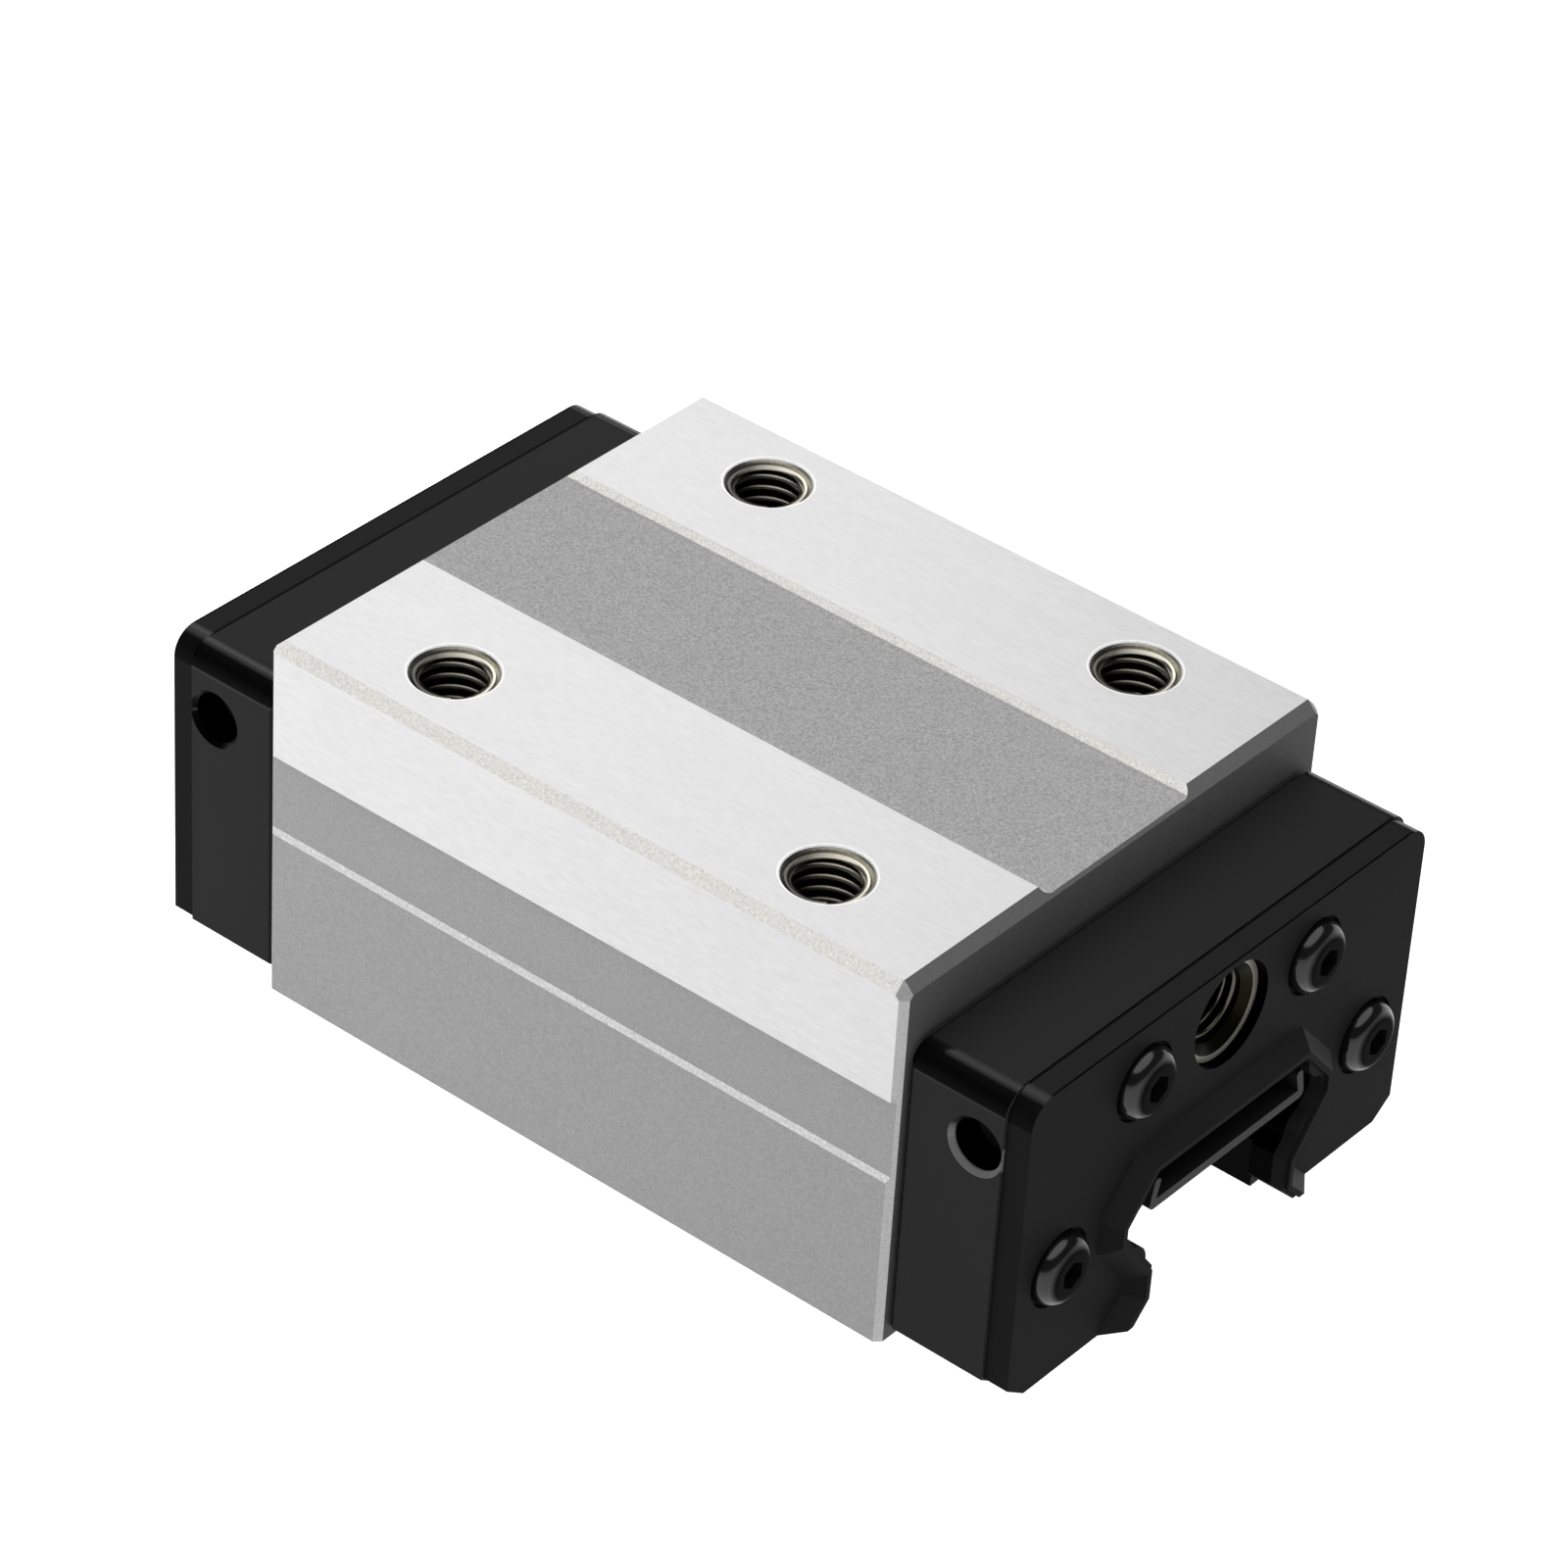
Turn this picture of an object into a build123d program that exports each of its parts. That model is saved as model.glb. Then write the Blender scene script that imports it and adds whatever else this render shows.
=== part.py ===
from build123d import *
import os
from math import asin, cos, hypot, pi, radians, sin, tan

os.makedirs("parts", exist_ok=True)

# Linear guide block: a ground steel carriage with a moulded cap and a wiper seal on each end.
# X runs along the travel, Y across it and Z up. The origin is under the middle, on the underside.
# Front is the +X end, and left and right are seen when looking at that end, so right is +Y.

# Steel carriage
block_width = 48.0
block_length = 59.5
block_height = 31.5
end_chamfer = 0.85
top_chamfer = 0.85
corner_chamfer = 0.55
corner_facet_depth = 0.3
datum_band_height = 10.0
side_relief = 0.3
ledge_height = 14.9
ledge_drop = 0.5
ledge_step = 0.25
relief_half_width = 8.5
relief_depth = 0.6
relief_wall = 1.2

# Mounting threads in the top
mount_pitch_x = 35.0
mount_pitch_y = 35.0
mount_thread_diameter = 6.0
mount_thread_depth = 8.0
mount_mouth_diameter = 7.0
drill_tip_angle = 118.0

# Rail that the carriage runs on
rail_half_width = 11.5
rail_top = 13.5
rail_top_half_width = 8.65
rail_shoulder_height = 10.0
rail_flank_height = 9.0
rail_waist_half_width = 7.9
rail_waist_height = 4.45

# Ball rows
ball_diameter = 3.97
ball_slack = 0.08
groove_clearance = 0.06
return_clearance = 0.15
upper_row = (11.46, 12.5)
lower_row = (10.85, 5.55)
upper_return = (18.3, 15.6)
lower_return = (18.6, 4.1)
passage_side_gap = 1.1
passage_top_gap = 0.9
passage_foot_half_width = 9.4

# Ball retainers
side_retainer_thickness = 0.6
side_retainer_wall_gap = 0.1
lower_retainer_thickness = 0.8
lower_retainer_foot = 0.5
retainer_grip_angle = 18.0
retainer_ball_gap = 0.07
retainer_overhang = 1.2
retainer_slot_gap = 0.1

# Keeper strip that holds the upper rows while the carriage is off its rail
keeper_thickness = 0.8
keeper_web_height = 9.9
keeper_flange_height = 2.6
keeper_ball_gap = 0.25
keeper_end_inset = 0.3
keeper_lean = 0.5
keeper_bend_radius = 0.5
keeper_tip_radius = 0.35

# End cap
cap_half_width = 23.2
cap_height = 26.5
cap_length = 8.55
cap_edge_radius = 1.9
cap_foot_bevel_width = 2.0
cap_foot_bevel_height = 1.4
cap_back_bevel = 0.6
cap_rail_gap = 0.6
grease_groove_width = 1.5
grease_groove_depth = 1.0
side_port_diameter = 4.1
side_port_depth = 3.0
side_port_setback = 2.3
side_port_height = 21.0
side_port_chamfer = 0.35

# Turn guides
guide_width = 3.4
guide_gap = 0.05

# End seal
seal_side_inset = 0.3
seal_thickness = 2.1
seal_edge_radius = 2.1
seal_rail_gap = 0.1
lip_height = 1.3
lip_land = 0.45
lip_step = 0.3
lip_side_gap = 0.4
lip_flare = 1.5
lip_corner_radius = 0.2
seal_recess_diameter = 6.3
seal_recess_depth = 0.4

# Cap screws
screw_thread_diameter = 3.0
screw_length = 16.0
screw_head_diameter = 5.7
screw_head_height = 1.65
screw_head_rim = 0.25
screw_head_flat_diameter = 3.0
screw_dome_radius = 1.3
screw_socket_width = 2.0
screw_socket_depth = 1.0
screw_end_gap = 0.6
screw_fit = 0.05
screw_cap_clearance = 0.2
upper_screw = (9.95, 21.5)
lower_screw = (18.1, 9.75)

# Grease port
port_height = 21.8
insert_diameter = 8.3
insert_length = 6.0
insert_recess = 0.8
insert_fit = 0.1
insert_mouth_diameter = 7.4
port_thread_diameter = 6.0
grease_duct_diameter = 3.0

# Worked out from the sizes above
half_length = block_length / 2
seam_x = half_length + cap_length
seal_face_x = seam_x + seal_thickness
end_x = seal_face_x + lip_height
ball_radius = ball_diameter / 2
groove_radius = ball_radius + groove_clearance
return_radius = ball_radius + return_clearance
tongue_radius = groove_radius - seal_rail_gap
passage_side = rail_half_width + passage_side_gap
passage_top = rail_top + passage_top_gap
head_seat_x = seal_face_x - seal_recess_depth
screw_places = [(side * y, z) for y, z in (upper_screw, lower_screw) for side in (-1, 1)]
circuits = {"upper": (upper_row, upper_return), "lower": (lower_row, lower_return)}
sides = {"left": -1, "right": 1}
ends = {"front": 1, "rear": -1}
corner_share = tan(pi / 8)  # how far an even offset moves a 45 degree corner


def section(points):
    """Face in the YZ plane from its right half, mirrored to the left."""
    half = Plane.YZ * make_face(Polyline(*points, close=True))
    return half + mirror(half, about=Plane.XZ)


def bar(face, start, length):
    """Solid of constant section along X."""
    return Pos(start, 0, 0) * extrude(face, length, dir=(1, 0, 0))


def rod(radius, start, end, y, z):
    """Round bar along X between two places."""
    return Pos((start + end) / 2, y, z) * Rot(0, 90, 0) * Cylinder(radius, end - start)


def block(y_low, y_high, z_low, z_high, start, end):
    """Square bar along X between two places."""
    centre = ((start + end) / 2, (y_low + y_high) / 2, (z_low + z_high) / 2)
    return Pos(*centre) * Box(end - start, abs(y_high - y_low), z_high - z_low)


def at_end(shape, end):
    """The shape as drawn at the front, or its mirror image at the rear."""
    return shape if end > 0 else mirror(shape, about=Plane.YZ)


def turn_plane(row, back, side):
    """Plane in which the balls turn at the front, centred between their two rows."""
    across = Vector(0, side * (back[0] - row[0]), back[1] - row[1])
    middle = ((row[0] + back[0]) / 2 * side, (row[1] + back[1]) / 2)
    normal = Vector(1, 0, 0).cross(across)
    return Plane(origin=(half_length, *middle), x_dir=(1, 0, 0), z_dir=normal)


def turn_radius(row, back):
    return hypot(back[0] - row[0], back[1] - row[1]) / 2


def rail_line(top_gap, side_gap):
    """Right half of the rail's outline from its waist to its top, set outwards by the gaps."""
    corner = side_gap * corner_share
    side = rail_half_width + side_gap
    return [
        (rail_waist_half_width + side_gap, rail_waist_height - corner),
        (side, rail_flank_height - corner),
        (side, rail_shoulder_height + corner),
        (rail_top_half_width + corner, rail_top + top_gap),
        (0, rail_top + top_gap),
    ]


def carriage_section():
    """Outer form with the ground bands, and the passage with a 45 degree land at each ball row."""
    half_width = block_width / 2
    relief = half_width - side_relief
    upper_run = passage_side - upper_row[0]
    upper_rise = passage_top - upper_row[1]
    lower_run = passage_side - lower_row[0]
    lower_drop = lower_row[0] - passage_foot_half_width
    return section([
        (0, passage_top),
        (upper_row[0] - upper_rise, passage_top),
        (passage_side, upper_row[1] - upper_run),
        (passage_side, lower_row[1] + lower_run),
        (passage_foot_half_width, lower_row[1] - lower_drop),
        (passage_foot_half_width, 0),
        (relief + ledge_step, 0),
        (relief + ledge_step, ledge_height - ledge_drop),
        (relief, ledge_height),
        (relief, block_height - datum_band_height),
        (half_width, block_height - datum_band_height),
        (half_width, block_height - top_chamfer),
        (half_width - top_chamfer, block_height),
        (0, block_height),
    ])


def top_relief_section():
    """Shallow relief between the two ground lands, with a curved wall on each side."""
    floor = block_height - relief_depth
    foot = relief_half_width - relief_wall
    middle = (foot + relief_wall * sin(radians(45)), block_height - relief_depth * cos(radians(45)))
    outline = Polyline((relief_half_width, block_height), (0, block_height), (0, floor), (foot, floor))
    wall = ThreePointArc((foot, floor), middle, (relief_half_width, block_height))
    half = Plane.YZ * make_face([outline, wall])
    return half + mirror(half, about=Plane.XZ)


def mounting_hole():
    """Tapped hole along Z, with its mouth at the origin and a drill point below."""
    radius = mount_thread_diameter / 2
    mouth = mount_mouth_diameter / 2
    lead = mouth - radius
    point = radius / tan(radians(drill_tip_angle / 2))
    profile = Polyline(
        (0, 0),
        (mouth, 0),
        (radius, -lead),
        (radius, -mount_thread_depth),
        (0, -mount_thread_depth - point),
        close=True,
    )
    return revolve(Plane.XZ * make_face(profile), Axis.Z)


def carriage():
    body = bar(carriage_section(), -half_length, block_length)
    body -= bar(top_relief_section(), -half_length, block_length)
    half_width = block_width / 2
    for end in (-1, 1):
        top_edge = Plane(origin=((half_length - end_chamfer) * end, 0, block_height), z_dir=(end, 0, 1))
        body = split(body, bisect_by=top_edge, keep=Keep.BOTTOM)
        for side in (-1, 1):
            upright = Plane(
                origin=((half_length - corner_chamfer) * end, half_width * side, 0), z_dir=(end, side, 0)
            )
            body = split(body, bisect_by=upright, keep=Keep.BOTTOM)
    for end in (-1, 1):
        for side in (-1, 1):
            corner = Vector(
                (half_length - end_chamfer) * end,
                (half_width - corner_chamfer) * side,
                block_height - top_chamfer,
            )
            normal = Vector(end, side, 1).normalized()
            facet = Plane(origin=corner + normal * corner_facet_depth, z_dir=normal)
            body = split(body, bisect_by=facet, keep=Keep.BOTTOM)
    for row, back in circuits.values():
        for side in (-1, 1):
            body -= rod(groove_radius, -half_length, half_length, row[0] * side, row[1])
            body -= rod(return_radius, -half_length, half_length, back[0] * side, back[1])
    for x in (-mount_pitch_x / 2, mount_pitch_x / 2):
        for y in (-mount_pitch_y / 2, mount_pitch_y / 2):
            body -= Pos(x, y, block_height) * mounting_hole()
    thread_end = head_seat_x - screw_length - screw_end_gap
    for y, z in screw_places:
        hole = rod(screw_thread_diameter / 2 + screw_fit, thread_end, half_length, y, z)
        for end in (-1, 1):
            body -= at_end(hole, end)
    return body


def cap_blank():
    """Moulded outer form of the front cap, before its passage and holes."""
    outline = Plane.YZ * make_face(Polyline(
        (-cap_half_width + cap_foot_bevel_width, 0),
        (cap_half_width - cap_foot_bevel_width, 0),
        (cap_half_width, cap_foot_bevel_height),
        (cap_half_width, cap_height),
        (-cap_half_width, cap_height),
        (-cap_half_width, cap_foot_bevel_height),
        close=True,
    ))
    blank = bar(outline, half_length, cap_length)
    long_edges = blank.edges().filter_by(Axis.X).group_by(Axis.Z)[-1]
    blank = fillet(long_edges, cap_edge_radius)
    back = blank.faces().sort_by(Axis.X)[0]
    rim = back.edges().sort_by(Axis.Z)[1:]
    upper_rim = [edge for edge in rim if edge.center().Z > cap_foot_bevel_height]
    return chamfer(upper_rim, cap_back_bevel)


def turn_channel(row, back, side):
    """Round channel that leads the balls from the loaded row to the return row at the front."""
    channel = turn_plane(row, back, side) * Torus(turn_radius(row, back), return_radius)
    return split(channel, bisect_by=Plane(origin=(half_length, 0, 0), z_dir=(1, 0, 0)), keep=Keep.TOP)


def turn_drum(row, back, side, gap):
    """Half drum inside the turn, as wide as the guide and its gap."""
    drum = turn_plane(row, back, side) * Cylinder(turn_radius(row, back), guide_width + 2 * gap)
    return split(drum, bisect_by=Plane(origin=(half_length, 0, 0), z_dir=(1, 0, 0)), keep=Keep.TOP)


def turn_guide(row, back, side):
    """Half drum with a grooved rim, which the balls roll round."""
    return turn_drum(row, back, side, 0) - turn_channel(row, back, side)


def grease_groove(start, end):
    """Straight groove in the cap's back face from one (y, z) place to another."""
    run = hypot(end[0] - start[0], end[1] - start[1])
    along = Vector(0, end[0] - start[0], end[1] - start[1])
    middle = (half_length + grease_groove_depth / 2, (start[0] + end[0]) / 2, (start[1] + end[1]) / 2)
    place = Plane(origin=middle, x_dir=along, z_dir=(1, 0, 0))
    return place * Box(run + grease_groove_width, grease_groove_width, grease_groove_depth)


def side_port(side):
    """Blind pilot hole in the cap's side, for a grease fitting there."""
    radius = side_port_diameter / 2
    mouth = Plane(
        origin=(seam_x - side_port_setback, cap_half_width * side, side_port_height), z_dir=(0, -side, 0)
    )
    hole = Cylinder(radius, side_port_depth, align=(Align.CENTER, Align.CENTER, Align.MIN))
    lead = Cone(
        radius + side_port_chamfer, radius, side_port_chamfer, align=(Align.CENTER, Align.CENTER, Align.MIN)
    )
    return mouth * (hole + lead)


def end_cap():
    cap = cap_blank()
    passage = rail_line(cap_rail_gap, cap_rail_gap)
    foot = (passage[0][0], -cap_rail_gap)
    cap -= bar(section([(0, -cap_rail_gap), foot] + passage), half_length, cap_length)
    duct_end = (0, port_height)
    for side in (-1, 1):
        middles = []
        for row, back in circuits.values():
            cap -= turn_channel(row, back, side)
            cap -= turn_drum(row, back, side, guide_gap)
            middles.append(((row[0] + back[0]) / 2 * side, (row[1] + back[1]) / 2))
        cap -= grease_groove(duct_end, middles[0])
        cap -= grease_groove(middles[0], middles[1])
        cap -= side_port(side)
        for retainer in (side_retainer(side, retainer_slot_gap), lower_retainer(side, retainer_slot_gap)):
            cap -= retainer
    for y, z in screw_places:
        cap -= rod(screw_thread_diameter / 2 + screw_cap_clearance, half_length, seam_x, y, z)
    insert_back = seal_face_x - insert_recess - insert_length
    cap -= rod(insert_diameter / 2 + insert_fit, insert_back, seam_x, 0, port_height)
    cap -= rod(grease_duct_diameter / 2, half_length, insert_back, 0, port_height)
    return cap


def flared_section(top_gap, side_gap):
    """Face round the rail, with a 45 degree flare at its foot that runs on below the underside."""
    line = rail_line(top_gap, side_gap)
    waist = line[0][0]
    flare = lip_flare + side_gap * corner_share
    return section([(0, -lip_height), (waist + flare + lip_height, -lip_height), (waist, flare)] + line)


def wiping_section():
    """Passage close to the rail, with a tongue at each ball row that fills the groove in the rail."""
    face = flared_section(seal_rail_gap, seal_rail_gap)
    for row, _ in circuits.values():
        for side in (-1, 1):
            face -= Plane.YZ * Pos(row[0] * side, row[1]) * Circle(tongue_radius)
    corners = [point for point in face.vertices() if point.Z > 0 and abs(point.Y) > rail_waist_half_width]
    return fillet(corners, lip_corner_radius)


def end_seal():
    half_width = cap_half_width - seal_side_inset
    outline = Plane.YZ * make_face(Polyline(
        (-half_width + cap_foot_bevel_width, 0),
        (half_width - cap_foot_bevel_width, 0),
        (half_width, cap_foot_bevel_height),
        (half_width, cap_height),
        (-half_width, cap_height),
        (-half_width, cap_foot_bevel_height),
        close=True,
    ))
    plate = bar(outline, seam_x, seal_thickness)
    plate = fillet(plate.edges().filter_by(Axis.X).group_by(Axis.Z)[-1], seal_edge_radius)
    crest_gap = seal_rail_gap + lip_land
    crest_side_gap = lip_side_gap + lip_land
    lip_base = Pos(seal_face_x, 0, 0) * flared_section(crest_gap + lip_height, crest_side_gap + lip_height)
    lip_crest = Pos(end_x, 0, 0) * flared_section(crest_gap, crest_side_gap)
    lip = loft([lip_base.face(), lip_crest.face()], ruled=True)
    lip = split(lip, bisect_by=Plane.XY, keep=Keep.TOP)
    seal = plate + lip
    seal -= bar(wiping_section(), seam_x, end_x - seam_x)
    seal -= bar(flared_section(seal_rail_gap, lip_side_gap), end_x - lip_step, lip_step)
    for y, z in screw_places:
        seal -= rod(screw_thread_diameter / 2 + screw_cap_clearance, seam_x, seal_face_x, y, z)
        seal -= rod(seal_recess_diameter / 2, head_seat_x, seal_face_x, y, z)
    seal -= rod(insert_diameter / 2 + insert_fit, seam_x, seal_face_x, 0, port_height)
    return seal


def button_screw():
    """Low domed screw with a hexagon socket, along X with its head's seat at the origin."""
    shank = screw_thread_diameter / 2
    rim = screw_head_diameter / 2
    flat = screw_head_flat_diameter / 2
    outline = Polyline(
        (flat, screw_head_height), (0, screw_head_height), (0, -screw_length),
        (shank, -screw_length), (shank, 0), (rim, 0), (rim, screw_head_rim),
    )
    dome = RadiusArc((rim, screw_head_rim), (flat, screw_head_height), -screw_dome_radius)
    screw = revolve(Plane.XZ * make_face([outline, dome]), Axis.Z)
    socket = extrude(
        Pos(0, 0, screw_head_height) * RegularPolygon(screw_socket_width / 2, 6, major_radius=False),
        -screw_socket_depth,
    )
    return Rot(0, 90, 0) * (screw - socket)


def cap_screws():
    """Four alike, one at each corner of the front cap."""
    screw = button_screw()
    return [Pos(head_seat_x, y, z) * screw for y, z in screw_places]


def grease_insert():
    """Metal bush with a threaded bore, pressed into the front cap."""
    outer = insert_diameter / 2
    mouth = insert_mouth_diameter / 2
    bore = port_thread_diameter / 2
    front = seal_face_x - insert_recess
    profile = Polyline(
        (bore, -insert_length),
        (outer, -insert_length),
        (outer, 0),
        (mouth, 0),
        (bore, bore - mouth),
        close=True,
    )
    bush = Rot(0, 90, 0) * revolve(Plane.XZ * make_face(profile), Axis.Z)
    return Pos(front, 0, port_height) * bush


def side_retainer(side, gap):
    """Flat strip on the passage wall between the rows, which keeps both from falling inwards."""
    low = lower_row[1] + ball_radius + retainer_ball_gap
    high = upper_row[1] - ball_radius - retainer_ball_gap
    outer = passage_side - side_retainer_wall_gap
    inner = outer - side_retainer_thickness
    reach = half_length + retainer_overhang + gap
    return block((inner - gap) * side, (outer + gap) * side, low - gap, high + gap, -reach, reach)


def lower_retainer(side, gap):
    """Upright strip under the lower row, at the edge of the foot of the passage."""
    grip = ball_radius + retainer_ball_gap
    outer = lower_row[0] - grip * cos(radians(retainer_grip_angle))
    high = lower_row[1] - grip * sin(radians(retainer_grip_angle))
    inner = outer - lower_retainer_thickness
    reach = half_length + retainer_overhang + gap
    low = lower_retainer_foot
    return block((inner - gap) * side, (outer + gap) * side, low - gap, high + gap, -reach, reach)


def keeper_strip():
    """Folded channel with its edges turned up in front of the upper rows."""
    outer = upper_row[0] - ball_radius - keeper_ball_gap
    web_top = keeper_web_height + keeper_thickness
    flange_top = keeper_web_height + keeper_flange_height
    profile = section([
        (0, keeper_web_height),
        (outer, keeper_web_height),
        (outer - keeper_lean, flange_top),
        (outer - keeper_lean - keeper_thickness, flange_top),
        (outer - keeper_thickness, web_top),
        (0, web_top),
    ])
    strip = bar(profile, -end_x + keeper_end_inset, 2 * (end_x - keeper_end_inset))
    levels = strip.edges().filter_by(Axis.X).group_by(Axis.Z)
    strip = fillet(levels[0], keeper_bend_radius)
    tips = strip.edges().filter_by(Axis.X).group_by(Axis.Z)[-1]
    return fillet(tips, keeper_tip_radius)


def ball_circuit(row, back, side):
    """Balls at an even pitch round one loop: loaded row, turn, return row and turn."""
    radius = turn_radius(row, back)
    loop = 2 * block_length + 2 * pi * radius
    tightest = 2 * radius * asin((ball_diameter + ball_slack) / (2 * radius))
    count = int(loop / tightest)
    balls = []
    for index in range(count):
        travel = loop * index / count
        if travel < block_length:
            x, share = travel - half_length, 0.0
        elif travel < block_length + pi * radius:
            angle = (travel - block_length) / radius
            x, share = half_length + radius * sin(angle), (1 - cos(angle)) / 2
        elif travel < 2 * block_length + pi * radius:
            x, share = half_length - (travel - block_length - pi * radius), 1.0
        else:
            angle = (travel - 2 * block_length - pi * radius) / radius
            x, share = -half_length - radius * sin(angle), (1 + cos(angle)) / 2
        y = row[0] + (back[0] - row[0]) * share
        z = row[1] + (back[1] - row[1]) * share
        balls.append(Pos(x, y * side, z) * Sphere(ball_radius))
    return balls


def save(name, shape):
    solids = shape if isinstance(shape, list) else [shape]
    pieces = [solid for item in solids for solid in item.solids()]
    whole = pieces[0] if len(pieces) == 1 else Compound(children=pieces)
    export_step(whole, f"parts/{name}.step")


save("carriage_block", carriage())
front_pieces = {
    "end_cap": end_cap(),
    "end_seal": end_seal(),
    "grease_insert": grease_insert(),
}
screws = cap_screws()
for end_name, end in ends.items():
    for piece_name, piece in front_pieces.items():
        save(f"{end_name}_{piece_name}", at_end(piece, end))
    save(f"{end_name}_cap_screws", [at_end(screw, end) for screw in screws])
for side_name, side in sides.items():
    save(f"{side_name}_side_retainer", side_retainer(side, 0))
    save(f"{side_name}_lower_retainer", lower_retainer(side, 0))
    for level, (row, back) in circuits.items():
        save(f"{side_name}_{level}_balls", ball_circuit(row, back, side))
        guide = turn_guide(row, back, side)
        for end_name, end in ends.items():
            save(f"{end_name}_{side_name}_{level}_turn_guide", at_end(guide, end))
save("ball_keeper_strip", keeper_strip())
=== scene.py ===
import math
import bmesh
import bpy
from mathutils import Euler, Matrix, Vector


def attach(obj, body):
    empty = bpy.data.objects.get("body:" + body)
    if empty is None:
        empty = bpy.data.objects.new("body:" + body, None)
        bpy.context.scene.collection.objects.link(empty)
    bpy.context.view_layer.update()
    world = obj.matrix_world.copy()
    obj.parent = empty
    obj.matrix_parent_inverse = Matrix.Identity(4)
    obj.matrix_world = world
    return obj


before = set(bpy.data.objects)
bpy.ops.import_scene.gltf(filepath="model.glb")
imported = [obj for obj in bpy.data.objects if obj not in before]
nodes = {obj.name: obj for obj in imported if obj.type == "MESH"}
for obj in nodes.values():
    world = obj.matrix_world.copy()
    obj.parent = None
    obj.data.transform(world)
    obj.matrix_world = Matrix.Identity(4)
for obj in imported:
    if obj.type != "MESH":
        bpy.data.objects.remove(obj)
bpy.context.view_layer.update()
print("frame loaded:", len(nodes), "nodes")

mm = 0.001
crisp = 0.04 * mm  # widths of the edges of masks
soft = 0.1 * mm
facing = {
    "square": 0.9,            # a face looks straight along an axis where its normal passes this
    "leaning": 0.3,           # and leans towards it where it passes this
    "cornered": 0.25,         # and belongs to a cut corner where it passes this on both sides
    "curved": (0.04, 0.995),  # and belongs to a fillet between these
    "soft": 0.05,
}


class Varying:
    # a number that changes over the surface, so masks can be written as plain maths
    def __init__(self, sheet, socket):
        self.sheet = sheet
        self.socket = socket

    def maths(self, operation, first, second=0.0, clamp=False):
        settings = {"operation": operation, "use_clamp": clamp}
        node = self.sheet.add("ShaderNodeMath", settings, {0: first, 1: second})
        return Varying(self.sheet, node.outputs[0])

    def __add__(self, other):
        return self.maths("ADD", self, other)

    def __radd__(self, other):
        return self.maths("ADD", other, self)

    def __sub__(self, other):
        return self.maths("SUBTRACT", self, other)

    def __rsub__(self, other):
        return self.maths("SUBTRACT", other, self)

    def __mul__(self, other):
        return self.maths("MULTIPLY", self, other)

    def __rmul__(self, other):
        return self.maths("MULTIPLY", other, self)

    def __truediv__(self, other):
        return self.maths("DIVIDE", self, other)

    def __abs__(self):
        return self.maths("ABSOLUTE", self)

    def __pow__(self, other):
        return self.maths("POWER", self, other)

    def clamped(self):
        return self.maths("ADD", self, 0.0, clamp=True)

    def above(self, limit, soft):  # 0 under the limit and 1 over it, with an edge of width soft
        return ((self - limit) / soft + 0.5).clamped()

    def below(self, limit, soft):
        return 1 - self.above(limit, soft)

    def between(self, low, high, soft):
        return self.above(low, soft) * self.below(high, soft)

    def around(self, middle, depth):  # wavers about the middle
        return middle + (self - 0.5) * depth

    def square(self):
        return self.above(facing["square"], facing["soft"])

    def leaning(self):
        return self.above(facing["leaning"], facing["soft"])

    def cornered(self):
        return self.above(facing["cornered"], facing["soft"])

    def curved(self):
        return self.between(*facing["curved"], 0.01)


def addNode(tree, kind, settings, inputs):  # inputs are plain values, sockets or Varying numbers
    node = tree.nodes.new(kind)
    for name, value in settings.items():
        setattr(node, name, value)
    for name, value in inputs.items():
        value = getattr(value, "socket", value)
        if isinstance(value, bpy.types.NodeSocket):
            tree.links.new(value, node.inputs[name])
        else:
            node.inputs[name].default_value = value
    return node


class NodeSheet:
    # one shader tree, with the calls that finishes and light are written in
    def __init__(self, tree):
        self.tree = tree
        self.tree.nodes.clear()
        self.place = self.add("ShaderNodeTexCoord", {}, {})

    def add(self, kind, settings, inputs):
        return addNode(self.tree, kind, settings, inputs)

    def parts(self, vector):
        node = self.add("ShaderNodeSeparateXYZ", {}, {0: vector})
        return [Varying(self, out) for out in node.outputs]

    def mixed(self, factor, first, second):  # colours, as sockets or as plain numbers
        inputs = {"Factor": factor, 6: first, 7: second}
        return self.add("ShaderNodeMix", {"data_type": "RGBA"}, inputs).outputs[2]

    def shade(self, colour, amount):  # multiplies a colour by a varying number
        even = self.add("ShaderNodeCombineColor", {}, {0: amount, 1: amount, 2: amount})
        settings = {"data_type": "RGBA", "blend_type": "MULTIPLY"}
        inputs = {"Factor": 1.0, 6: colour, 7: even.outputs[0]}
        return self.add("ShaderNodeMix", settings, inputs).outputs[2]


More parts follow.
